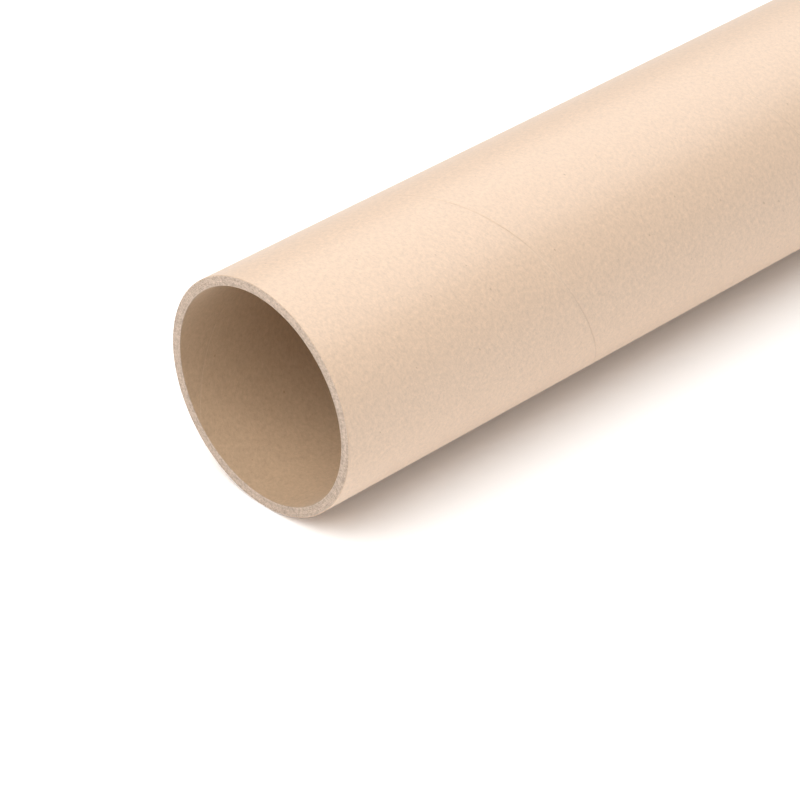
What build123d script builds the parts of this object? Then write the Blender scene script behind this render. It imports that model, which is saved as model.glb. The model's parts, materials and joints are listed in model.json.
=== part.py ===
from build123d import *

import os
from math import ceil, floor

# Cardboard mailing tube, spirally wound from paper, standing on its closed end.
# Its upper end is open, and a moulded plug closes its lower end.
# +Z is up along the tube's axis, and -Y is its front. The origin is on the axis, at the surface
# that the tube stands on. All lengths are in millimetres.

# The tube's wall
tube_length = 610.0
bore_diameter = 63.5
wall_thickness = 3.0
edge_dulling = 0.2

# The butt seams of the outermost and the innermost paper strip, which wind round the tube.
# A seam's drop is how far below the open end it crosses the tube's front.
seam_pitch = 102.5
seam_gap = 0.4
strip_thickness = 0.4
outer_seam_drop = 64.0
inner_seam_drop = 37.0
seam_runs_per_turn = 4
seam_end_overrun = 3.0

# The plug's flange, which stops against the tube's cut end
flange_thickness = 1.8
flange_inset = 0.6
flange_bevel = 0.4

# The plug's cup, whose skirt goes up into the bore
plug_depth = 19.0
plug_wall = 1.4
skirt_clearance = 0.55
skirt_draft = 0.25
lead_in_length = 1.6
lead_in_depth = 0.7

# The rings round the skirt that grip the bore. Plain skirt is left at both ends of the row.
ring_count = 3
ring_clearance = 0.05
ring_ramp_length = 1.5
ring_back_length = 0.35
land_by_flange = 4.65
land_by_lead_in = 2.5

# The finger bar across the cup, hollow behind, and the bevel round the floors of its two pockets
bar_width = 13.0
bar_recess = 0.8
bar_rounding = 0.6
pocket_bevel = 1.0

# How far a cut runs past the face that it leaves
overrun = 1.0

# Worked out from the sizes above
bore_radius = bore_diameter / 2
tube_radius = bore_radius + wall_thickness
open_end_z = flange_thickness + tube_length
plug_top_z = flange_thickness + plug_depth


def seam_runs(radius, drop):
    """Right-handed helical bars, end to end, as wide as the gap between two strip edges."""
    run_height = seam_pitch / seam_runs_per_turn
    with BuildPart() as bar:
        with BuildLine() as route:
            Helix(seam_pitch, run_height, radius)
        across = Plane(origin=route.line @ 0, x_dir=(1, 0, 0), z_dir=route.line % 0)
        with BuildSketch(across):
            Rectangle(2 * strip_thickness, seam_gap)
        sweep(path=route.line, is_frenet=True)
    lowest = floor((drop - tube_length - seam_end_overrun) / run_height)
    highest = ceil((drop + seam_end_overrun) / run_height)
    runs = []
    for number in range(lowest, highest):
        start_z = open_end_z - drop + number * run_height
        turn = 360 * number / seam_runs_per_turn - 90
        runs.append(Pos(0, 0, start_z) * Rot(0, 0, turn) * bar.part)
    return runs


# The tube: one wall, with its saw-cut edges dulled and the two seams let into its faces
with BuildPart() as tube:
    with BuildSketch(Plane.XY.offset(flange_thickness)):
        Circle(tube_radius)
        Circle(bore_radius, mode=Mode.SUBTRACT)
    extrude(amount=tube_length)
    chamfer(tube.edges().filter_by(GeomType.CIRCLE), length=edge_dulling)
    add(seam_runs(tube_radius, outer_seam_drop), mode=Mode.SUBTRACT)
    add(seam_runs(bore_radius, inner_seam_drop), mode=Mode.SUBTRACT)
tube.part.label = "tube"

# The plug, turned about the tube's axis from its half section
flange_radius = tube_radius - flange_inset
skirt_radius = bore_radius - skirt_clearance
tip_radius = skirt_radius - skirt_draft
cup_radius = tip_radius - plug_wall
mid_wall_radius = cup_radius + plug_wall / 2
ring_radius = bore_radius - ring_clearance
first_crest = land_by_flange + ring_back_length
last_crest = plug_depth - lead_in_length - land_by_lead_in - ring_ramp_length
ring_spacing = (last_crest - first_crest) / max(ring_count - 1, 1)
bar_inside_width = bar_width - 2 * plug_wall

with BuildPart() as end_plug:
    with BuildSketch(Plane.XZ):
        with BuildLine():
            Polyline(
                (0, plug_top_z),
                (tip_radius - lead_in_depth, plug_top_z),
                (tip_radius, plug_top_z - lead_in_length),
                (skirt_radius, flange_thickness),
                (flange_radius, flange_thickness),
                (flange_radius, 0),
                (cup_radius, 0),
                (cup_radius, plug_top_z - plug_wall),
                (0, plug_top_z - plug_wall),
                close=True,
            )
        make_face()
    revolve(axis=Axis.Z)

    # Grip rings, rooted inside the skirt's wall: a long ramp on the way in and a steep back
    for number in range(ring_count):
        crest_z = flange_thickness + first_crest + number * ring_spacing
        with BuildSketch(Plane.XZ):
            with BuildLine():
                Polyline(
                    (tip_radius, crest_z + ring_ramp_length),
                    (ring_radius, crest_z),
                    (tip_radius, crest_z - ring_back_length),
                    close=True,
                )
            make_face()
        revolve(axis=Axis.Z)

    # Finger bar across the cup, from the cup's floor down to just inside the flange's face
    with BuildSketch(Plane.XY.offset(plug_top_z)):
        Circle(mid_wall_radius)
        Rectangle(2 * tube_radius, bar_width, mode=Mode.INTERSECT)
    extrude(amount=bar_recess - plug_top_z)

    # The pockets' floors meet their walls in a bevel, and the bar's face is rounded to its sides
    pocket_floors = end_plug.faces().filter_by(Plane.XY).group_by(Axis.Z)[-2]
    chamfer(pocket_floors.edges(), length=pocket_bevel)
    bar_edges = (
        end_plug.edges()
        .filter_by(GeomType.LINE)
        .filter_by(Axis.X)
        .filter_by_position(Axis.Z, 0, flange_thickness)
    )
    fillet(bar_edges, radius=bar_rounding)
    rim = end_plug.faces().sort_by(Axis.Z)[0].edges()
    chamfer(rim, length=flange_bevel)

    # The bar is cored from behind, so that every wall is as thick as the rest
    with BuildSketch(Plane.XY.offset(plug_top_z + overrun)):
        Circle(cup_radius)
        Rectangle(2 * tube_radius, bar_inside_width, mode=Mode.INTERSECT)
    extrude(amount=bar_recess + plug_wall - plug_top_z - overrun, mode=Mode.SUBTRACT)
end_plug.part.label = "end_plug"

os.makedirs("parts", exist_ok=True)
for piece in (tube.part, end_plug.part):
    export_step(piece, f"parts/{piece.label}.step")
    print(piece.label, "volume", round(piece.volume), "solids", len(piece.solids()))
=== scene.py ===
import bpy
import json
import math
from mathutils import Matrix, Vector


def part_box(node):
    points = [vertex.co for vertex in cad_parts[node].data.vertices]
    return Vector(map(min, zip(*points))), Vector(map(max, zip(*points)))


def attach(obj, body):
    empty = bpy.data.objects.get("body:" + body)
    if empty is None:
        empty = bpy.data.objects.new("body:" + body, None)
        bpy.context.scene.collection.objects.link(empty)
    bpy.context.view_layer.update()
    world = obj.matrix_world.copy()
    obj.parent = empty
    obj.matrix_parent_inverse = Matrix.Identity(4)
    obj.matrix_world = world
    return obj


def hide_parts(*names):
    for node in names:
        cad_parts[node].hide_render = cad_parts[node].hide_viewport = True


# Cardboard mailing tube. It stands on its closed end in its own frame, with +Z up along it.
# The pale surface of the picture is the plane that the tube's back touches, so the camera is
# rolled to see the tube lying on that surface.

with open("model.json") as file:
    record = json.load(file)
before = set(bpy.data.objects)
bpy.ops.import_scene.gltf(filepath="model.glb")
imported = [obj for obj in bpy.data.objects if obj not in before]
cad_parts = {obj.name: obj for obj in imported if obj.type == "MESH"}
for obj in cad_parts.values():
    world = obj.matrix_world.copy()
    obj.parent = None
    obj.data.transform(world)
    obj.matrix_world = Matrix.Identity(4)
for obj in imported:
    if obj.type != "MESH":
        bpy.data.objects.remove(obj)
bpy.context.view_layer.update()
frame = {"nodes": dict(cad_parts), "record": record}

mm = 0.001
fullTurn = 2 * math.pi
lowCorner, highCorner = (Vector(corner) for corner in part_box("tube"))
mouth = next(mount for mount in frame["record"]["mounts"] if mount["name"] == "mouth")

tube = {
    "outerRadius": highCorner.x,
    "boreRadius": mouth["dims"]["r_mm"] * mm,
    "bottom": lowCorner.z,
    "top": highCorner.z,
    "edgeDulling": 0.2 * mm,
    "seamPitch": 102.5 * mm,
    "outerSeamDrop": 64.0 * mm,  # below the open end, where the seam crosses the front
    "innerSeamDrop": 37.0 * mm,
    "seamGap": 0.42 * mm,
    "seamDepth": 0.11 * mm,
    "lipHeight": 0.025 * mm,
    "lipReach": 0.7 * mm,
    "slackAngle": math.radians(-70),  # where the seam gapes most, from the front towards +X
    "plyThickness": 0.5 * mm,
    "plyGroove": 0.05 * mm,
    "plyGrooveShare": 0.22,  # of a ply, each side of the line where two meet
    "cutRoughness": 0.09 * mm,
    "cutGrain": 1600.0,  # per metre
    "stationsPerTurn": 240,
    "columns": 20,
    "fineColumns": 4.0,  # each side of the seam
    "fineStep": 0.28,  # the first one's width, as a share of the gap
    "fineGrowth": 1.6,
    "rings": 26,
    "mergeDistance": 0.01 * mm,
    "creaseAngle": math.radians(24),
    "seed": 7,
}

numberSocket, countSocket = "NodeSocketFloat", "NodeSocketInt"
vectorSocket, colorSocket = "NodeSocketVector", "NodeSocketColor"


# Node helpers, for geometry and shader trees alike
def addNode(tree, kind, **settings):
    node = tree.nodes.new(kind)
    for name, value in settings.items():
        setattr(node, name, value)
    return node


def feed(tree, socket, value):
    if isinstance(value, bpy.types.NodeSocket):
        tree.links.new(value, socket)
    else:
        socket.default_value = value


def calc(tree, operation, *values, clamp=False):
    node = addNode(tree, "ShaderNodeMath", operation=operation, use_clamp=clamp)
    for socket, value in zip(node.inputs, values):
        feed(tree, socket, value)
    return node.outputs[0]


def oneMinus(tree, value):
    return calc(tree, "SUBTRACT", 1.0, value)


def toWhole(tree, value):
    # How far the value is from the nearest whole number
    share = calc(tree, "FRACT", value)
    return calc(tree, "MINIMUM", share, oneMinus(tree, share))


def vector(tree, x=0.0, y=0.0, z=0.0):
    node = addNode(tree, "ShaderNodeCombineXYZ")
    for socket, value in zip(node.inputs, (x, y, z)):
        feed(tree, socket, value)
    return node.outputs[0]


def blendStep(tree, value, low, high, lowResult=0.0, highResult=1.0):
    node = addNode(tree, "ShaderNodeMapRange", interpolation_type="SMOOTHSTEP")
    for name, item in (("Value", value), ("From Min", low), ("From Max", high),
                       ("To Min", lowResult), ("To Max", highResult)):
        feed(tree, node.inputs[name], item)
    return node.outputs["Result"]


def noise(tree, coordinate, scale, detail=2.0, roughness=0.5, distortion=0.0):
    node = addNode(tree, "ShaderNodeTexNoise")
    feed(tree, node.inputs["Vector"], coordinate)
    for name, item in (("Scale", scale), ("Detail", detail), ("Roughness", roughness),
                       ("Distortion", distortion)):
        feed(tree, node.inputs[name], item)
    return node.outputs["Fac"]


def nodeGroup(name, kind, inputs, outputs):
    tree = bpy.data.node_groups.new(name, kind)
    for label, socketKind, value in inputs:
        socket = tree.interface.new_socket(label, in_out="INPUT", socket_type=socketKind)
        if value is not None:
            socket.default_value = value
    for label, socketKind in outputs:
        tree.interface.new_socket(label, in_out="OUTPUT", socket_type=socketKind)
    return tree, tree.nodes.new("NodeGroupInput").outputs, tree.nodes.new("NodeGroupOutput")


def geometryGroup(name, inputs):
    return nodeGroup(name, "GeometryNodeTree", inputs, [("Geometry", "NodeSocketGeometry")])


def newObject(name, data):
    item = bpy.data.objects.new(name, data)
    bpy.context.scene.collection.objects.link(item)
    return item


# How the seam changes on its way. The strips' pull on each other comes from a slow noise, and
# they are slack on one side of the tube. Where they are pulled apart most, the change is 1.
seam = {
    "strainScale": 20.0, "strainPlace": 15.3,
    "pulledFrom": 0.35, "pulledTo": 0.65, "leastPulled": 0.4,
    "slackFrom": -0.2, "slackTo": 0.9, "leastSlack": 0.25,
    "leastWidth": 0.5, "widthChange": 0.6,
    "wallFrom": 0.2, "wallTo": 0.7,  # where the groove's wall stands, as shares of its width
    "leastDepth": 0.2, "depthChange": 0.8,
    "liftShare": 0.8, "liftReach": 2.0,  # of the upper strip's edge, against the lip's own
}


def seamReliefGroup():
    # How far a strip's face stands in or out beside the butt seam, at a turn and a height
    tree, given, sink = nodeGroup("seamRelief", "GeometryNodeTree", [
        ("Turn", numberSocket, 0.0), ("Height", numberSocket, 0.0),
        ("Seam Start", numberSocket, 0.0), ("Seam Pitch", numberSocket, 0.1),
        ("Gap", numberSocket, 0.0004), ("Depth", numberSocket, 0.0003),
        ("Lip", numberSocket, 0.0), ("Lift", numberSocket, 0.0),
        ("Lip Reach", numberSocket, 0.0005), ("Slack Angle", numberSocket, 0.0),
        ("Strain Place", numberSocket, seam["strainPlace"])],
        [(name, numberSocket) for name in ("Relief", "Groove", "PaleFibreAndHighlight")])
    rise = calc(tree, "SUBTRACT", given["Height"], given["Seam Start"])
    across = calc(tree, "DIVIDE", rise, given["Seam Pitch"])
    share = calc(tree, "FRACT", calc(tree, "SUBTRACT", across, given["Turn"]))
    above = calc(tree, "MULTIPLY", share, given["Seam Pitch"])
    below = calc(tree, "MULTIPLY", oneMinus(tree, share), given["Seam Pitch"])
    near = calc(tree, "MINIMUM", above, below)

    angle = calc(tree, "MULTIPLY", given["Turn"], fullTurn)
    strain = calc(tree, "MULTIPLY_ADD", given["Height"], seam["strainScale"],
                  given["Strain Place"])
    place = vector(tree, calc(tree, "SINE", angle), calc(tree, "COSINE", angle), strain)
    pulled = blendStep(tree, noise(tree, place, 1.0, detail=3.0),
                       seam["pulledFrom"], seam["pulledTo"], seam["leastPulled"], 1.0)
    slack = calc(tree, "COSINE", calc(tree, "SUBTRACT", angle, given["Slack Angle"]))
    slack = blendStep(tree, slack, seam["slackFrom"], seam["slackTo"], seam["leastSlack"], 1.0)
    change = calc(tree, "MULTIPLY", pulled, slack)

    # The groove
    wide = calc(tree, "MULTIPLY_ADD", change, seam["widthChange"], seam["leastWidth"])
    wide = calc(tree, "MULTIPLY", given["Gap"], wide)
    wall = blendStep(tree, near, calc(tree, "MULTIPLY", wide, seam["wallFrom"]),
                     calc(tree, "MULTIPLY", wide, seam["wallTo"]), 1.0, 0.0)
    deep = calc(tree, "MULTIPLY_ADD", change, -seam["depthChange"], -seam["leastDepth"])
    groove = calc(tree, "MULTIPLY", wall, calc(tree, "MULTIPLY", given["Depth"], deep))
    # The groove's mask darkens the paper's colour there: glue and the ply beneath, and painted
    # shade in the recess
    feed(tree, sink.inputs["Groove"], calc(tree, "MULTIPLY", wall, change))

    # The strips' edges beside it, the upper one lifted more
    byEdge = blendStep(tree, near, 0.0, given["Lip Reach"], 1.0, 0.0)
    lip = calc(tree, "MULTIPLY", byEdge, given["Lip"])
    liftReach = calc(tree, "MULTIPLY", given["Lip Reach"], seam["liftReach"])
    lift = blendStep(tree, above, 0.0, liftReach, 1.0, 0.0)
    raised = calc(tree, "MULTIPLY_ADD", lift, given["Lift"], lip)
    raised = calc(tree, "MULTIPLY", calc(tree, "MULTIPLY", raised, change), oneMinus(tree, wall))
    feed(tree, sink.inputs["Relief"], calc(tree, "ADD", groove, raised))

    # Beside the edges, where the strips press together, the colour is made paler instead of
    # leaving a gap: pale cut fibres, with a painted highlight on the raised edges
    highlitEdge = calc(tree, "MULTIPLY", byEdge, oneMinus(tree, wall))
    pressed = calc(tree, "SUBTRACT", slack, change)
    feed(tree, sink.inputs["PaleFibreAndHighlight"], calc(tree, "MULTIPLY", highlitEdge, pressed))
    return tree


seamRelief = seamReliefGroup()

# What every tree of the tube's wall is given
wallInputs = [
    ("Radius", numberSocket, 0.03), ("Bottom", numberSocket, 0.0), ("Top", numberSocket, 0.6),
    ("Edge Dulling", numberSocket, 0.0002), ("Seam Pitch", numberSocket, 0.1),
    ("Seam Drop", numberSocket, 0.06), ("Seam Gap", numberSocket, 0.0004),
    ("Seam Depth", numberSocket, 0.0003), ("Lip Height", numberSocket, 0.0),
    ("Lip Reach", numberSocket, 0.0005), ("Slack Angle", numberSocket, 0.0),
    ("Stations", countSocket, 240)]


def seamStart(tree, given):
    # The seam's height at turn 0, at least one strip below the tube, on the tube's front
    fall = calc(tree, "SUBTRACT", given["Top"], given["Seam Drop"])
    fall = calc(tree, "SUBTRACT", fall, given["Bottom"])
    turns = calc(tree, "CEIL", calc(tree, "DIVIDE", fall, given["Seam Pitch"]))
    turns = calc(tree, "ADD", turns, 1.0)
    return calc(tree, "SUBTRACT", calc(tree, "ADD", fall, given["Bottom"]),
                calc(tree, "MULTIPLY", turns, given["Seam Pitch"]))


def useRelief(tree, given, side, turn, height, start):
    # The face's radius with the seam let into it, and the seam's marks
    node = addNode(tree, "GeometryNodeGroup", node_tree=seamRelief)
    lift = calc(tree, "MULTIPLY", given["Lip Height"], seam["liftShare"])
    for name, value in (("Turn", turn), ("Height", height), ("Seam Start", start),
                        ("Seam Pitch", given["Seam Pitch"]), ("Gap", given["Seam Gap"]),
                        ("Depth", given["Seam Depth"]), ("Lip", given["Lip Height"]),
                        ("Lip Reach", given["Lip Reach"]),
                        ("Slack Angle", given["Slack Angle"]), ("Lift", lift)):
        feed(tree, node.inputs[name], value)
    radius = calc(tree, "MULTIPLY_ADD", node.outputs["Relief"], side, given["Radius"])
    return radius, node.outputs


def roundPlace(tree, radius, turn, height):
    # A point round the tube. Turn 0 is the tube's front, and a quarter turn its +X side.
    angle = calc(tree, "MULTIPLY", turn, fullTurn)
    backward = calc(tree, "MULTIPLY", calc(tree, "COSINE", angle), -1.0)
    return vector(tree, calc(tree, "MULTIPLY", radius, calc(tree, "SINE", angle)),
                  calc(tree, "MULTIPLY", radius, backward), height)


def capture(tree, geometry, **fields):
    node = addNode(tree, "GeometryNodeCaptureAttribute", domain="POINT")
    feed(tree, node.inputs["Geometry"], geometry)
    for name, field in fields.items():
        node.capture_items.new("BOOLEAN" if field.type == "BOOLEAN" else "FLOAT", name)
        feed(tree, node.inputs[name], field)
    return node.outputs


def compare(tree, operation, a, b):
    node = addNode(tree, "FunctionNodeCompare", data_type="FLOAT", operation=operation)
    feed(tree, node.inputs["A"], a)
    feed(tree, node.inputs["B"], b)
    return node.outputs["Result"]


def placed(tree, geometry, position):
    node = addNode(tree, "GeometryNodeSetPosition")
    feed(tree, node.inputs["Geometry"], geometry)
    feed(tree, node.inputs["Position"], position)
    return node.outputs["Geometry"]


def stored(tree, geometry, name, value, kind, domain):
    node = addNode(tree, "GeometryNodeStoreNamedAttribute", data_type=kind, domain=domain)
    feed(tree, node.inputs["Geometry"], geometry)
    node.inputs["Name"].default_value = name
    feed(tree, node.inputs["Value"], value)
    return node.outputs["Geometry"]


def gridPlace(tree, across, along):
    # A unit-spaced grid, and each of its points' whole-number place on it
    grid = addNode(tree, "GeometryNodeMeshGrid")
    for name, count in (("X", along), ("Y", across)):
        feed(tree, grid.inputs[f"Vertices {name}"], calc(tree, "ADD", count, 1.0))
        feed(tree, grid.inputs[f"Size {name}"], count)
    split = addNode(tree, "ShaderNodeSeparateXYZ")
    feed(tree, split.inputs[0], tree.nodes.new("GeometryNodeInputPosition").outputs[0])
    places = [calc(tree, "ROUND", calc(tree, "MULTIPLY_ADD", count, 0.5, split.outputs[name]))
              for name, count in (("X", along), ("Y", across))]
    return grid.outputs["Mesh"], *places


def woundFaceGroup():
    # One face of the tube, as one strip that winds from end to end and is cut off square
    tree, given, sink = geometryGroup("woundFace", wallInputs + [
        ("Columns", countSocket, 20), ("Side", numberSocket, 1.0)])
    start = seamStart(tree, given)
    reach = calc(tree, "SUBTRACT", given["Top"], start)
    turns = calc(tree, "CEIL", calc(tree, "DIVIDE", reach, given["Seam Pitch"]))
    stations = calc(tree, "MULTIPLY", turns, given["Stations"])
    grid, station, column = gridPlace(tree, given["Columns"], stations)
    turn = calc(tree, "DIVIDE", station, given["Stations"])

    # Columns that start narrow each side of the seam, and even ones between
    half = calc(tree, "MULTIPLY", given["Columns"], 0.5)
    fromSeam = calc(tree, "ABSOLUTE", calc(tree, "SUBTRACT", column, half))
    fromSeam = calc(tree, "SUBTRACT", half, fromSeam)
    fine = calc(tree, "MINIMUM", fromSeam, tube["fineColumns"])
    fine = calc(tree, "MULTIPLY", calc(tree, "POWER", fine, tube["fineGrowth"]),
                calc(tree, "MULTIPLY", given["Seam Gap"], tube["fineStep"]))
    fineWidth = calc(tree, "MULTIPLY", given["Seam Gap"],
                     tube["fineStep"] * tube["fineColumns"] ** tube["fineGrowth"])
    even = calc(tree, "MULTIPLY_ADD", given["Seam Pitch"], 0.5,
                calc(tree, "MULTIPLY", fineWidth, -1.0))
    even = calc(tree, "DIVIDE", even, calc(tree, "SUBTRACT", half, tube["fineColumns"]))
    beyond = calc(tree, "SUBTRACT", fromSeam, tube["fineColumns"])
    beyond = calc(tree, "MAXIMUM", beyond, 0.0)
    away = calc(tree, "ADD", fine, calc(tree, "MULTIPLY", even, beyond))
    late = compare(tree, "GREATER_THAN", column, half)
    flip = calc(tree, "MULTIPLY", late, given["Seam Pitch"])
    sign = calc(tree, "MULTIPLY_ADD", late, -2.0, 1.0)
    foot = calc(tree, "MULTIPLY_ADD", turn, given["Seam Pitch"], start)
    rawHeight = calc(tree, "ADD", foot, calc(tree, "MULTIPLY_ADD", away, sign, flip))

    low = calc(tree, "ADD", given["Bottom"], given["Edge Dulling"])
    high = calc(tree, "SUBTRACT", given["Top"], given["Edge Dulling"])
    height = calc(tree, "MINIMUM", calc(tree, "MAXIMUM", rawHeight, low), high)
    held = capture(tree, grid, turn=turn, height=height,
                   under=compare(tree, "LESS_EQUAL", rawHeight, low),
                   over=compare(tree, "GREATER_EQUAL", rawHeight, high),
                   across=calc(tree, "SUBTRACT", height, foot))
    radius, marks = useRelief(tree, given, given["Side"], held["turn"], held["height"], start)
    current = placed(tree, held["Geometry"],
                     roundPlace(tree, radius, held["turn"], held["height"]))

    # Lengths along and across the strip, in metres, for the paper's grain
    girth = calc(tree, "MULTIPLY", given["Radius"], fullTurn)
    slope = calc(tree, "ARCTAN2", given["Seam Pitch"], girth)
    cosine, sine = calc(tree, "COSINE", slope), calc(tree, "SINE", slope)
    along = calc(tree, "DIVIDE", calc(tree, "MULTIPLY", held["turn"], girth), cosine)
    along = calc(tree, "ADD", along, calc(tree, "MULTIPLY", held["across"], sine))
    paperPlace = vector(tree, along, calc(tree, "MULTIPLY", held["across"], cosine))
    current = stored(tree, current, "paperPlace", paperPlace, "FLOAT2", "CORNER")
    # Both marks go to the paper's colour: the groove darkened by glue and painted shade, the
    # edges beside it lightened by pale fibres and a painted highlight
    for name, mark in (("seamGlueAndPaintedShade", "Groove"), ("seamPaleFibreAndHighlight", "PaleFibreAndHighlight")):
        current = stored(tree, current, name, marks[mark], "FLOAT", "POINT")

    for name in ("under", "over"):
        drop = addNode(tree, "GeometryNodeDeleteGeometry", domain="FACE", mode="ALL")
        feed(tree, drop.inputs["Geometry"], current)
        feed(tree, drop.inputs["Selection"], held[name])
        current = drop.outputs["Geometry"]
    feed(tree, sink.inputs["Geometry"], current)
    return tree


def cutRingGroup():
    # The sawn end of the wall, with the edges of its plies
    tree, given, sink = geometryGroup("cutRing", wallInputs + [
        ("Inner Radius", numberSocket, 0.03), ("Inner Seam Drop", numberSocket, 0.03),
        ("End Height", numberSocket, 0.6), ("Outward", numberSocket, 1.0),
        ("Rings", countSocket, 26), ("Ply Thickness", numberSocket, 0.0005),
        ("Ply Groove", numberSocket, 0.00005), ("Roughness", numberSocket, 0.00005)])
    grid, station, ring = gridPlace(tree, given["Rings"], given["Stations"])
    turn = calc(tree, "DIVIDE", station, given["Stations"])

    # Its first and last ring of points are on the wound faces, past the dulled edges
    first = compare(tree, "LESS_THAN", ring, 0.5)
    last = compare(tree, "GREATER_THAN", ring, calc(tree, "SUBTRACT", given["Rings"], 0.5))
    onFace = calc(tree, "ADD", first, last)
    onCut = oneMinus(tree, onFace)
    dulling = calc(tree, "MULTIPLY", given["Outward"], given["Edge Dulling"])
    faceHeight = calc(tree, "SUBTRACT", given["End Height"], dulling)

    outer, _ = useRelief(tree, given, 1.0, turn, faceHeight, seamStart(tree, given))
    within = {name: given[name] for name, kind, value in wallInputs}
    within["Radius"], within["Seam Drop"] = given["Inner Radius"], given["Inner Seam Drop"]
    inner, _ = useRelief(tree, within, -1.0, turn, faceHeight, seamStart(tree, within))

    inset = calc(tree, "MULTIPLY", given["Edge Dulling"], onCut)
    share = calc(tree, "DIVIDE", calc(tree, "SUBTRACT", ring, 1.0),
                 calc(tree, "SUBTRACT", given["Rings"], 2.0), clamp=True)
    outerEdge = calc(tree, "SUBTRACT", outer, inset)
    innerEdge = calc(tree, "ADD", inner, inset)
    wall = calc(tree, "SUBTRACT", innerEdge, outerEdge)
    radius = calc(tree, "MULTIPLY_ADD", wall, share, outerEdge)

    # Plies are saw-cut a little unevenly, with a fine line where two meet
    ply = calc(tree, "SUBTRACT", given["Radius"], radius)
    ply = calc(tree, "DIVIDE", ply, given["Ply Thickness"])
    line = blendStep(tree, toWhole(tree, ply), 0.0, tube["plyGrooveShare"], 1.0, 0.0)
    rough = noise(tree, roundPlace(tree, radius, turn, given["End Height"]), tube["cutGrain"],
                  detail=3.0, roughness=0.6)
    rough = calc(tree, "MULTIPLY", calc(tree, "SUBTRACT", rough, 0.5), given["Roughness"])
    sunk = calc(tree, "MULTIPLY", given["Ply Groove"], -1.0)
    sunk = calc(tree, "MINIMUM", calc(tree, "MULTIPLY_ADD", line, sunk, rough), 0.0)
    sunk = calc(tree, "MULTIPLY", calc(tree, "MULTIPLY", sunk, onCut), given["Outward"])
    height = calc(tree, "SUBTRACT", given["End Height"], calc(tree, "MULTIPLY", dulling, onFace))
    height = calc(tree, "ADD", height, sunk)
    feed(tree, sink.inputs["Geometry"],
         placed(tree, grid, roundPlace(tree, radius, turn, height)))
    return tree


woundFace = woundFaceGroup()
cutRing = cutRingGroup()
print("geometry groups made")


edgeFibre = {
    "perEnd": 260,
    "length": 0.5 * mm,
    "lengthRange": (0.35, 1.3),
    "thickness": 0.03 * mm,
    "lean": 0.9,  # at most, in radians
    "outsideShare": 0.6,  # of them stand nearer the tube's outside
    "crowding": 2.5,  # how closely they keep to the wall's two faces
    "spread": 0.96,  # over the wall's thickness
    "inset": 0.06 * mm,  # of the outermost ones
    "rootDepth": 0.1 * mm,
    "curve": (("Start", (0.0, 0.0, 0.0)), ("Start Handle", (0.0, 0.1, 0.4)),
              ("End Handle", (0.05, 0.5, 0.6)), ("End", (0.3, 0.85, 0.45))),
    "segments": 4,
    "sides": 3,
    "seedStep": 20.0,  # from one end to the other
}


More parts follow.
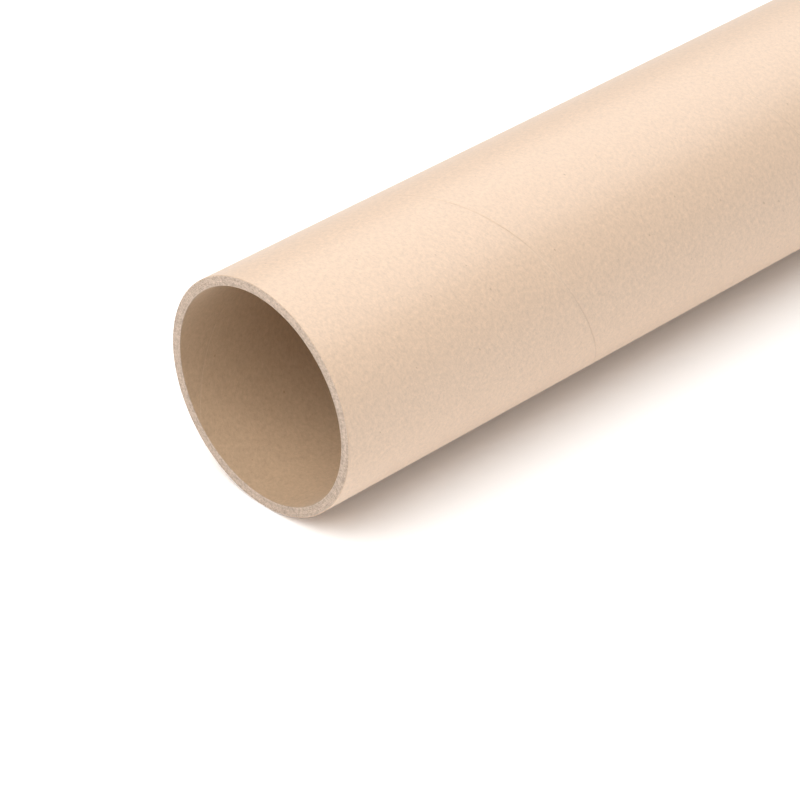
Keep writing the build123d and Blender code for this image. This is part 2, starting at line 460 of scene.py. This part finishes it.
def edgeFibresGroup(look):
    # Short paper fibres that stand up from the edges of a sawn end
    tree, given, sink = geometryGroup("edgeFibres", [
        ("Radius", numberSocket, 0.03), ("Inner Radius", numberSocket, 0.03),
        ("End Height", numberSocket, 0.6), ("Outward", numberSocket, 1.0),
        ("Count", countSocket, 200), ("Length", numberSocket, 0.0008),
        ("Thickness", numberSocket, look["thickness"]), ("Seed", countSocket, 1)])

    def randomValue(low, high, offset):
        node = addNode(tree, "FunctionNodeRandomValue", data_type="FLOAT")
        limits = [socket for socket in node.inputs if socket.type == "VALUE" and socket.enabled]
        for socket, value in zip(limits, (low, high)):
            feed(tree, socket, value)
        feed(tree, node.inputs["Seed"], calc(tree, "ADD", given["Seed"], float(offset)))
        return node.outputs[1]  # the one that isn't a vector

    line = addNode(tree, "GeometryNodeMeshLine")
    feed(tree, line.inputs["Count"], given["Count"])
    turn = randomValue(0.0, 1.0, 1)
    nearEdge = calc(tree, "POWER", randomValue(0.0, 1.0, 2), look["crowding"])
    onInside = compare(tree, "GREATER_THAN", randomValue(0.0, 1.0, 3), look["outsideShare"])
    wall = calc(tree, "SUBTRACT", given["Radius"], given["Inner Radius"])
    depth = calc(tree, "ABSOLUTE", calc(tree, "SUBTRACT", onInside, nearEdge))
    depth = calc(tree, "MULTIPLY", calc(tree, "MULTIPLY", wall, depth), look["spread"])
    radius = calc(tree, "SUBTRACT", given["Radius"], look["inset"])
    radius = calc(tree, "SUBTRACT", radius, depth)
    height = calc(tree, "MULTIPLY_ADD", given["Outward"], -look["rootDepth"],
                  given["End Height"])
    roots = placed(tree, line.outputs["Mesh"], roundPlace(tree, radius, turn, height))

    # One fibre, a unit long
    fibre = addNode(tree, "GeometryNodeCurvePrimitiveBezierSegment")
    fibre.inputs["Resolution"].default_value = look["segments"]
    for name, place in look["curve"]:
        fibre.inputs[name].default_value = place
    profile = addNode(tree, "GeometryNodeCurvePrimitiveCircle")
    profile.inputs["Resolution"].default_value = look["sides"]
    feed(tree, profile.inputs["Radius"],
         calc(tree, "DIVIDE", given["Thickness"], given["Length"]))
    sweep = addNode(tree, "GeometryNodeCurveToMesh")
    feed(tree, sweep.inputs["Curve"], fibre.outputs["Curve"])
    feed(tree, sweep.inputs["Profile Curve"], profile.outputs["Curve"])
    sweep.inputs["Fill Caps"].default_value = True

    # Each leans and turns its own way, and those of the lower end point down
    lean = look["lean"]
    turned = addNode(tree, "FunctionNodeRotateEuler")
    feed(tree, turned.inputs["Rotation"],
         vector(tree, randomValue(-lean, lean, 4), randomValue(-lean, lean, 5),
                randomValue(-math.pi, math.pi, 6)))
    lower = compare(tree, "LESS_THAN", given["Outward"], 0.0)
    feed(tree, turned.inputs["Rotate By"],
         vector(tree, calc(tree, "MULTIPLY", lower, math.pi)))
    instance = addNode(tree, "GeometryNodeInstanceOnPoints")
    feed(tree, instance.inputs["Points"], roots)
    feed(tree, instance.inputs["Instance"], sweep.outputs["Mesh"])
    feed(tree, instance.inputs["Rotation"], turned.outputs[0])
    feed(tree, instance.inputs["Scale"],
         calc(tree, "MULTIPLY", given["Length"], randomValue(*look["lengthRange"], 7)))
    real = addNode(tree, "GeometryNodeRealizeInstances")
    feed(tree, real.inputs["Geometry"], instance.outputs["Instances"])
    feed(tree, sink.inputs["Geometry"], real.outputs["Geometry"])
    return tree


edgeFibres = edgeFibresGroup(edgeFibre)


def woundTubeTree():
    # The whole tube: two wound faces and two sawn ends, closed into one skin, and loose fibres
    tree, given, sink = geometryGroup("woundTube", wallInputs + [
        ("Inner Radius", numberSocket, 0.03), ("Inner Seam Drop", numberSocket, 0.03),
        ("Columns", countSocket, 20), ("Rings", countSocket, 26),
        ("Ply Thickness", numberSocket, 0.0005), ("Ply Groove", numberSocket, 0.00005),
        ("Roughness", numberSocket, 0.00005), ("Fibres", countSocket, 200),
        ("Fibre Length", numberSocket, 0.0008), ("Seed", countSocket, 1),
        ("Outer Paper", "NodeSocketMaterial", None), ("Inner Paper", "NodeSocketMaterial", None),
        ("Cut Board", "NodeSocketMaterial", None), ("Fibre Paper", "NodeSocketMaterial", None)])

    def use(group, **others):
        node = addNode(tree, "GeometryNodeGroup", node_tree=group)
        for socket in node.inputs:
            if socket.name in others:
                feed(tree, socket, others[socket.name])
            elif socket.name in given:
                feed(tree, socket, given[socket.name])
        return node.outputs["Geometry"]

    def paint(geometry, material):
        node = addNode(tree, "GeometryNodeSetMaterial")
        feed(tree, node.inputs["Geometry"], geometry)
        feed(tree, node.inputs["Material"], material)
        return node.outputs["Geometry"]

    def flipped(geometry):
        node = addNode(tree, "GeometryNodeFlipFaces")
        feed(tree, node.inputs["Mesh"], geometry)
        return node.outputs["Mesh"]

    outside = use(woundFace, Side=1.0)
    inside = flipped(use(woundFace, **{"Side": -1.0, "Radius": given["Inner Radius"],
                                       "Seam Drop": given["Inner Seam Drop"]}))
    upperCut = use(cutRing, **{"End Height": given["Top"], "Outward": 1.0})
    lowerCut = flipped(use(cutRing, **{"End Height": given["Bottom"], "Outward": -1.0}))
    join = addNode(tree, "GeometryNodeJoinGeometry")
    for geometry, material in ((outside, "Outer Paper"), (inside, "Inner Paper"),
                               (upperCut, "Cut Board"), (lowerCut, "Cut Board")):
        tree.links.new(paint(geometry, given[material]), join.inputs[0])
    merge = addNode(tree, "GeometryNodeMergeByDistance")
    feed(tree, merge.inputs["Geometry"], join.outputs[0])
    merge.inputs["Distance"].default_value = tube["mergeDistance"]

    # Smooth all over, apart from the edges of the sawn ends
    smooth = addNode(tree, "GeometryNodeSetShadeSmooth", domain="FACE")
    feed(tree, smooth.inputs["Geometry"], merge.outputs["Geometry"])
    crease = addNode(tree, "GeometryNodeSetShadeSmooth", domain="EDGE")
    feed(tree, crease.inputs["Geometry"], smooth.outputs["Geometry"])
    bend = addNode(tree, "GeometryNodeInputMeshEdgeAngle")
    feed(tree, crease.inputs["Selection"],
         compare(tree, "GREATER_THAN", bend.outputs["Unsigned Angle"], tube["creaseAngle"]))
    crease.inputs["Shade Smooth"].default_value = False

    whole = addNode(tree, "GeometryNodeJoinGeometry")
    tree.links.new(crease.outputs["Geometry"], whole.inputs[0])
    for number, (end, outward) in enumerate((("Top", 1.0), ("Bottom", -1.0))):
        seed = calc(tree, "ADD", given["Seed"], edgeFibre["seedStep"] * number)
        fibres = use(edgeFibres, **{"End Height": given[end], "Outward": outward,
                                    "Count": given["Fibres"],
                                    "Length": given["Fibre Length"], "Seed": seed})
        tree.links.new(paint(fibres, given["Fibre Paper"]), whole.inputs[0])
    real = addNode(tree, "GeometryNodeRealizeInstances")
    feed(tree, real.inputs["Geometry"], whole.outputs[0])
    feed(tree, sink.inputs["Geometry"], real.outputs["Geometry"])
    return tree


woundTube = woundTubeTree()
print("tube tree made")


# Shader helpers
def mixColors(tree, factor, first, second):
    node = addNode(tree, "ShaderNodeMix", data_type="RGBA", clamp_factor=True)
    sockets = {socket.identifier: socket for socket in node.inputs}
    for name, value in (("Factor_Float", factor), ("A_Color", first), ("B_Color", second)):
        feed(tree, sockets[name], value)
    return next(socket for socket in node.outputs if socket.identifier == "Result_Color")


def toned(tree, color, tone):
    node = addNode(tree, "ShaderNodeVectorMath", operation="SCALE")
    feed(tree, node.inputs[0], color)
    feed(tree, node.inputs["Scale"], tone)
    return node.outputs[0]


def scaled(tree, place, x, y=None, z=None):
    node = addNode(tree, "ShaderNodeVectorMath", operation="MULTIPLY")
    feed(tree, node.inputs[0], place)
    node.inputs[1].default_value = (x, x if y is None else y, x if z is None else z)
    return node.outputs[0]


def linear(red, green, blue):
    # A colour as a paint program gives it, from 0 to 255, as light
    values = [c / 255 for c in (red, green, blue)]
    return [c / 12.92 if c <= 0.04045 else ((c + 0.055) / 1.055) ** 2.4 for c in values] + [1.0]


# The paper's pattern, with its scales per millimetre
paperPattern = {
    "contrast": 7.0,
    "grainStretch": (0.92, 1.0, 1.0), "grainScale": 0.78, "grainRoughness": 0.78,
    "cloudScale": 0.22, "cloudRoughness": 0.6,
    "fibreScale": (1.3, 2.8, 2.8), "fibreRoughness": 0.6, "fibreBend": 0.6,
    "fleckStretch": (0.55, 1.0, 1.0), "fleckScale": 0.42, "fleckShare": 0.2,
    "fleckSize": 0.04, "fleckSizeRange": 0.12,
    "fibreRelief": 0.4, "reliefScale": 0.14,
}


def paperGrainGroup(pattern):
    # The look of unbleached paper at a place in millimetres, its first axis along the paper web
    tree, given, sink = nodeGroup("paperGrain", "ShaderNodeTree", [
        ("Place", vectorSocket, None), ("Paper Color", colorSocket, None),
        ("Fleck Color", colorSocket, None), ("Grain", numberSocket, 0.03),
        ("Clouds", numberSocket, 0.01), ("Fibres", numberSocket, 0.02),
        ("Flecks", numberSocket, 0.5)],
        [("Color", colorSocket), ("Change", numberSocket), ("Height", numberSocket)])

    def centred(value):
        return calc(tree, "MULTIPLY_ADD", value, pattern["contrast"], -pattern["contrast"] / 2)

    grain = centred(noise(tree, scaled(tree, given["Place"], *pattern["grainStretch"]),
                          pattern["grainScale"], 3.0, pattern["grainRoughness"]))
    clouds = centred(noise(tree, given["Place"], pattern["cloudScale"], 3.0,
                           pattern["cloudRoughness"]))
    fibres = centred(noise(tree, scaled(tree, given["Place"], *pattern["fibreScale"]), 1.0, 2.0,
                           pattern["fibreRoughness"], pattern["fibreBend"]))
    tone = calc(tree, "MULTIPLY_ADD", grain, given["Grain"], 1.0)
    tone = calc(tree, "MULTIPLY_ADD", clouds, given["Clouds"], tone)
    tone = calc(tree, "MULTIPLY_ADD", fibres, given["Fibres"], tone)
    plain = toned(tree, given["Paper Color"], tone)

    # Bits of bark and dark fibre, in a few of the cells of a scatter
    scatter = addNode(tree, "ShaderNodeTexVoronoi", feature="F1")
    feed(tree, scatter.inputs["Vector"], scaled(tree, given["Place"], *pattern["fleckStretch"]))
    scatter.inputs["Scale"].default_value = pattern["fleckScale"]
    split = addNode(tree, "ShaderNodeSeparateColor")
    feed(tree, split.inputs[0], scatter.outputs["Color"])
    chosen = calc(tree, "GREATER_THAN", split.outputs[0], 1.0 - pattern["fleckShare"])
    reach = calc(tree, "MULTIPLY_ADD", split.outputs[1], pattern["fleckSizeRange"],
                 pattern["fleckSize"])
    spot = blendStep(tree, scatter.outputs["Distance"], 0.0, reach, 1.0, 0.0)
    fleck = calc(tree, "MULTIPLY", calc(tree, "MULTIPLY", spot, chosen), given["Flecks"])
    feed(tree, sink.inputs["Color"], mixColors(tree, fleck, plain, given["Fleck Color"]))
    change = calc(tree, "MULTIPLY_ADD", fibres, pattern["fibreRelief"], grain)
    feed(tree, sink.inputs["Change"], change)
    feed(tree, sink.inputs["Height"],
         calc(tree, "MULTIPLY_ADD", change, pattern["reliefScale"], 0.5))
    return tree


paperGrain = paperGrainGroup(paperPattern)


def newMaterial(name, **constants):
    material = bpy.data.materials.new(name)
    material.use_nodes = True
    tree = material.node_tree
    shader = tree.nodes["Principled BSDF"]
    for label, value in constants.items():
        shader.inputs[label.replace("_", " ")].default_value = value
    return material, tree, shader


def bump(tree, shader, height, distance):
    node = addNode(tree, "ShaderNodeBump")
    node.inputs["Distance"].default_value = distance
    feed(tree, node.inputs["Height"], height)
    feed(tree, shader.inputs["Normal"], node.outputs[0])


def unevenGloss(tree, shader, change, look):
    feed(tree, shader.inputs["Roughness"],
         calc(tree, "MULTIPLY_ADD", change, look["roughnessChange"], look["roughness"],
              clamp=True))


def usePaper(tree, place, look):
    node = addNode(tree, "ShaderNodeGroup", node_tree=paperGrain)
    feed(tree, node.inputs["Place"], place)
    for name in ("Paper Color", "Fleck Color", "Grain", "Clouds", "Fibres", "Flecks"):
        node.inputs[name].default_value = look[name]
    return node.outputs


def objectPlace(tree):
    return scaled(tree, addNode(tree, "ShaderNodeTexCoord").outputs["Object"], 1 / mm)


kraftPaper = {
    "Paper Color": linear(213, 184, 157), "Fleck Color": linear(140, 108, 78),
    "Grain": 0.078, "Clouds": 0.012, "Fibres": 0.04, "Flecks": 0.6,
    "roughness": 0.42, "roughnessChange": 0.03, "specular": 1.0, "relief": 0.04 * mm,
    "sheen": 0.12, "sheenRoughness": 0.4,
    # The seam's groove is darkened (glue and the ply beneath, with painted shade), and the edges
    # beside it made paler (pale cut fibres, with a painted highlight)
    "seamGlueAndPaintedShade": 0.28, "seamGlueAndPaintedShadeColor": linear(165, 136, 108),
    "seamPaleFibreAndHighlight": 0.42, "seamPaleFibreAndHighlightColor": linear(240, 222, 200),
}

linerPaper = dict(kraftPaper, **{
    "Paper Color": linear(190, 162, 132), "Grain": 0.08, "Clouds": 0.02, "Fibres": 0.03,
    "roughness": 0.62, "specular": 0.5, "seamGlueAndPaintedShadeColor": linear(112, 90, 70)})


def windingMaterial(name, look):
    # Paper that is wound round the tube: its pattern follows the strip
    material, tree, shader = newMaterial(
        name, Specular_IOR_Level=look["specular"], Sheen_Weight=look["sheen"],
        Sheen_Roughness=look["sheenRoughness"])
    web = addNode(tree, "ShaderNodeUVMap", uv_map="paperPlace")
    paper = usePaper(tree, scaled(tree, web.outputs[0], 1 / mm), look)
    color = paper["Color"]
    # Darken the seam's groove (glue and the ply beneath, with painted shade), and lighten the
    # edges beside it (pale cut fibres, with a painted highlight)
    for mark in ("seamGlueAndPaintedShade", "seamPaleFibreAndHighlight"):
        along = addNode(tree, "ShaderNodeAttribute", attribute_name=mark)
        share = calc(tree, "MULTIPLY", along.outputs["Fac"], look[mark])
        color = mixColors(tree, share, color, look[mark + "Color"])
    feed(tree, shader.inputs["Base Color"], color)
    unevenGloss(tree, shader, paper["Change"], look)
    bump(tree, shader, paper["Height"], look["relief"])
    return material


sawnBoard = {
    "Paper Color": linear(186, 166, 149), "Fleck Color": linear(110, 90, 76),
    "Grain": 0.24, "Clouds": 0.03, "Fibres": 0.04, "Flecks": 0.8, "patternScale": 1.9,
    "roughness": 0.85, "specular": 0.3, "relief": 0.12 * mm,
    "plyTone": 0.1, "plyWaver": 0.06, "waverScale": 0.5,
    "plyLine": 0.2, "lineWidth": 0.1, "lineDepth": 0.8,
    "facePly": 0.15, "facePlyFade": 0.7, "facePlyTint": 0.75,
}


def sawnMaterial(look):
    # The sawn end: plies from the outside in, each of its own shade, with a fine line between
    material, tree, shader = newMaterial("sawnBoard", Roughness=look["roughness"],
                                         Specular_IOR_Level=look["specular"])
    place = objectPlace(tree)
    paper = usePaper(tree, scaled(tree, place, look["patternScale"]), look)
    fromAxis = addNode(tree, "ShaderNodeVectorMath", operation="LENGTH")
    feed(tree, fromAxis.inputs[0], scaled(tree, place, 1.0, 1.0, 0.0))
    depth = calc(tree, "SUBTRACT", tube["outerRadius"] / mm, fromAxis.outputs["Value"])
    waver = calc(tree, "MULTIPLY_ADD", noise(tree, place, look["waverScale"]),
                 2 * look["plyWaver"], -look["plyWaver"])
    depth = calc(tree, "ADD", depth, waver)
    plyThickness = tube["plyThickness"] / mm
    ply = calc(tree, "DIVIDE", depth, plyThickness)
    shadeOfPly = addNode(tree, "ShaderNodeTexWhiteNoise", noise_dimensions="1D")
    feed(tree, shadeOfPly.inputs["W"], calc(tree, "FLOOR", ply))
    tone = calc(tree, "SUBTRACT", shadeOfPly.outputs["Value"], 0.5)
    tone = calc(tree, "MULTIPLY_ADD", tone, look["plyTone"], 1.0)
    line = blendStep(tree, toWhole(tree, ply), 0.0, look["lineWidth"] / plyThickness,
                     look["plyLine"], 0.0)
    tone = calc(tree, "MULTIPLY", tone, oneMinus(tree, line))
    face = blendStep(tree, depth, look["facePly"] * look["facePlyFade"], look["facePly"],
                     look["facePlyTint"], 0.0)
    board = toned(tree, paper["Color"], tone)
    feed(tree, shader.inputs["Base Color"],
         mixColors(tree, face, board, kraftPaper["Paper Color"]))
    height = calc(tree, "MULTIPLY_ADD", line, -look["lineDepth"], paper["Height"])
    bump(tree, shader, height, look["relief"])
    return material


looseFibre = dict(sawnBoard, **{
    "Paper Color": linear(212, 192, 168), "Grain": 0.04, "Flecks": 0.2})


def fibreMaterial(look):
    material, tree, shader = newMaterial("looseFibre", Roughness=look["roughness"],
                                         Specular_IOR_Level=look["specular"])
    feed(tree, shader.inputs["Base Color"], usePaper(tree, objectPlace(tree), look)["Color"])
    return material


plugPlastic = {
    "color": linear(240, 237, 231), "shadeColor": linear(230, 226, 218),
    "roughness": 0.36, "roughnessChange": 0.1, "specular": 0.5, "relief": 0.012 * mm,
    "cloudScale": 0.09, "cloudRoughness": 0.55, "cloudBend": 0.8,
    "cloudFrom": 0.35, "cloudTo": 0.7, "skinScale": 5.0, "skinRoughness": 0.6,
}


def mouldedMaterial(look):
    # Natural white polyethylene with the fine satin skin of its mould and faint flow clouds
    material, tree, shader = newMaterial("mouldedPlastic", Specular_IOR_Level=look["specular"])
    place = objectPlace(tree)
    clouds = noise(tree, place, look["cloudScale"], 3.0, look["cloudRoughness"],
                   look["cloudBend"])
    skin = noise(tree, place, look["skinScale"], 2.0, look["skinRoughness"])
    shade = blendStep(tree, clouds, look["cloudFrom"], look["cloudTo"])
    feed(tree, shader.inputs["Base Color"],
         mixColors(tree, shade, look["color"], look["shadeColor"]))
    uneven = calc(tree, "ADD", calc(tree, "SUBTRACT", clouds, 0.5),
                  calc(tree, "SUBTRACT", skin, 0.5))
    unevenGloss(tree, shader, uneven, look)
    bump(tree, shader, skin, look["relief"])
    return material


materials = {
    "Outer Paper": windingMaterial("outerKraft", kraftPaper),
    "Inner Paper": windingMaterial("innerLiner", linerPaper),
    "Cut Board": sawnMaterial(sawnBoard),
    "Fibre Paper": fibreMaterial(looseFibre),
}
print("materials made")


def plainMesh(name, tree, values):
    # The tree's result as an ordinary mesh, in a new object with no modifier
    holder = newObject(name + "Maker", bpy.data.meshes.new(name + "Maker"))
    modifier = holder.modifiers.new(name, "NODES")
    modifier.node_group = tree
    for item in tree.interface.items_tree:
        if item.in_out == "INPUT" and item.name in values:
            modifier[item.identifier] = values[item.name]
    depsgraph = bpy.context.evaluated_depsgraph_get()
    mesh = bpy.data.meshes.new_from_object(
        holder.evaluated_get(depsgraph), preserve_all_data_layers=True, depsgraph=depsgraph)
    mesh.name = name
    # The joined geometry may bring an empty slot
    while None in mesh.materials[:]:
        mesh.materials.pop(index=mesh.materials[:].index(None))
    bpy.data.objects.remove(holder)
    return newObject(name, mesh)


paperTube = plainMesh("paperTube", woundTube, {
    "Radius": tube["outerRadius"], "Inner Radius": tube["boreRadius"],
    "Bottom": tube["bottom"], "Top": tube["top"], "Edge Dulling": tube["edgeDulling"],
    "Seam Pitch": tube["seamPitch"], "Seam Drop": tube["outerSeamDrop"],
    "Inner Seam Drop": tube["innerSeamDrop"], "Seam Gap": tube["seamGap"],
    "Seam Depth": tube["seamDepth"], "Lip Height": tube["lipHeight"],
    "Lip Reach": tube["lipReach"], "Slack Angle": tube["slackAngle"],
    "Stations": tube["stationsPerTurn"], "Columns": tube["columns"], "Rings": tube["rings"],
    "Ply Thickness": tube["plyThickness"], "Ply Groove": tube["plyGroove"],
    "Roughness": tube["cutRoughness"], "Fibres": edgeFibre["perEnd"],
    "Fibre Length": edgeFibre["length"], "Seed": tube["seed"], **materials})
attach(paperTube, "tube")
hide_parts("tube")

plug = frame["nodes"]["end_plug"]
plastic = mouldedMaterial(plugPlastic)
if plug.material_slots:
    for slot in plug.material_slots:
        slot.material = plastic
else:
    plug.data.materials.append(plastic)
print("tube and plug dressed")

stage = {
    "halfSize": 4.0,
    "gap": 0.2 * mm,
    "seenColor": 1.08, "bounceColor": 1.0,
    "worldLevel": 0.42,
    "fadeStart": 0.35, "fadeEnd": 0.8,  # from the tube's middle
}

middle = Vector((0.0, 0.0, (lowCorner.z + highCorner.z) / 2))
surfaceY = highCorner.y + stage["gap"]
surfaceUp = Vector((0.0, -1.0, 0.0))


def paleSurface():
    # The pale surface that the tube's back touches. From behind, the camera sees through it.
    size = stage["halfSize"]
    corners = [(x, surfaceY, z)
               for x, z in ((-size, -size), (size, -size), (size, size), (-size, size))]
    mesh = bpy.data.meshes.new("paleSurface")
    mesh.from_pydata(corners, [], [(0, 1, 2, 3)])
    floor = newObject("paleSurface", mesh)
    material = bpy.data.materials.new("paleSurface")
    material.use_nodes = True
    tree = material.node_tree
    tree.nodes.remove(tree.nodes["Principled BSDF"])
    path = addNode(tree, "ShaderNodeLightPath").outputs
    diffuse = addNode(tree, "ShaderNodeBsdfDiffuse")
    level = calc(tree, "MULTIPLY_ADD", path["Is Camera Ray"],
                 stage["seenColor"] - stage["bounceColor"], stage["bounceColor"])
    feed(tree, diffuse.inputs["Color"], vector(tree, level, level, level))
    clear = addNode(tree, "ShaderNodeBsdfTransparent")

    # The lamp behind it shines through at the first hit, and a path that came through from
    # behind leaves the surface out of the light as well
    behind = addNode(tree, "ShaderNodeNewGeometry").outputs["Backfacing"]
    firstShadow = calc(tree, "MULTIPLY", path["Is Shadow Ray"],
                       calc(tree, "LESS_THAN", path["Ray Depth"], 1.5))
    crossed = calc(tree, "GREATER_THAN", path["Transparent Depth"], 0.5)
    unseen = calc(tree, "MAXIMUM", calc(tree, "MAXIMUM", firstShadow, crossed), behind)

    # Away from the lamps the surface gives way to the white behind it, for the camera only
    away = addNode(tree, "ShaderNodeVectorMath", operation="DISTANCE")
    feed(tree, away.inputs[0], addNode(tree, "ShaderNodeTexCoord").outputs["Object"])
    away.inputs[1].default_value = middle
    faded = blendStep(tree, away.outputs["Value"], stage["fadeStart"], stage["fadeEnd"])
    faded = calc(tree, "MULTIPLY", faded, path["Is Camera Ray"])
    unseen = calc(tree, "MAXIMUM", unseen, faded)
    choose = addNode(tree, "ShaderNodeMixShader")
    for socket, value in zip(choose.inputs, (unseen, diffuse.outputs[0], clear.outputs[0])):
        feed(tree, socket, value)
    feed(tree, tree.nodes["Material Output"].inputs["Surface"], choose.outputs[0])
    mesh.materials.append(material)


def studioWorld():
    # White where it is seen or mirrored, and dimmer as a light
    world = bpy.data.worlds.new("studio")
    world.use_nodes = True
    tree = world.node_tree
    path = addNode(tree, "ShaderNodeLightPath").outputs
    seen = calc(tree, "MAXIMUM", path["Is Camera Ray"], path["Is Glossy Ray"])
    seen = calc(tree, "MAXIMUM", seen, path["Is Transmission Ray"])
    strength = calc(tree, "MULTIPLY_ADD", seen, 1.0 - stage["worldLevel"], stage["worldLevel"])
    background = tree.nodes["Background"]
    background.inputs["Color"].default_value = (1.0, 1.0, 1.0, 1.0)
    feed(tree, background.inputs["Strength"], strength)
    bpy.context.scene.world = world


def turnedTo(direction, up):
    # A rotation whose +Z points along the direction, as a camera's or a lamp's back does
    back = Vector(direction).normalized()
    right = Vector(up).cross(back).normalized()
    return Matrix((right, back.cross(right), back)).transposed().to_4x4()


# Bearing goes round the tube from its front towards -X, and lift towards its open end, both in
# degrees. The distance is from the tube's middle.
lamps = {
    "topBox": {"bearing": 0.0, "lift": 45.0, "distance": 1.3,
               "size": (1.2, 1.2), "power": 12.3},
    "farBox": {"bearing": -8.0, "lift": -35.0, "distance": 1.5,
               "size": (2.6, 0.8), "power": 11.3},
    "sideBox": {"bearing": 60.0, "lift": 15.0, "distance": 1.8,
                "size": (1.6, 1.6), "power": 2.2},
    "backBox": {"bearing": 180.0, "lift": 5.0, "distance": 1.8,
                "size": (2.0, 2.0), "power": 15.0},
}


def addLamp(name, setting):
    bearing, lift = math.radians(setting["bearing"]), math.radians(setting["lift"])
    direction = Vector((-math.sin(bearing) * math.cos(lift),
                        -math.cos(bearing) * math.cos(lift), math.sin(lift)))
    data = bpy.data.lights.new(name, "AREA")
    data.shape, data.energy = "ELLIPSE", setting["power"]
    data.size, data.size_y = setting["size"]
    lamp = newObject(name, data)
    place = middle + direction * setting["distance"]
    lamp.matrix_world = Matrix.Translation(place) @ turnedTo(direction, (0.0, 0.0, 1.0))
    lamp.visible_camera = False


camera = {
    "place": (-0.59457, -0.53029, 1.13176),
    "back": (-0.5980, -0.5584, 0.5751),
    "focalLength": 161.82,
    "sensorWidth": 36.0,
    "clipStart": 0.01, "clipEnd": 100.0,
}


def addCamera():
    data = bpy.data.cameras.new("camera")
    data.lens, data.sensor_width = camera["focalLength"], camera["sensorWidth"]
    data.clip_start, data.clip_end = camera["clipStart"], camera["clipEnd"]
    item = newObject("camera", data)
    item.matrix_world = Matrix.Translation(camera["place"]) @ turnedTo(camera["back"], surfaceUp)
    bpy.context.scene.camera = item


paleSurface()
studioWorld()
for name, setting in lamps.items():
    addLamp(name, setting)
addCamera()
bpy.context.scene.view_settings.view_transform = "Standard"
print("stage, lamps and camera set")
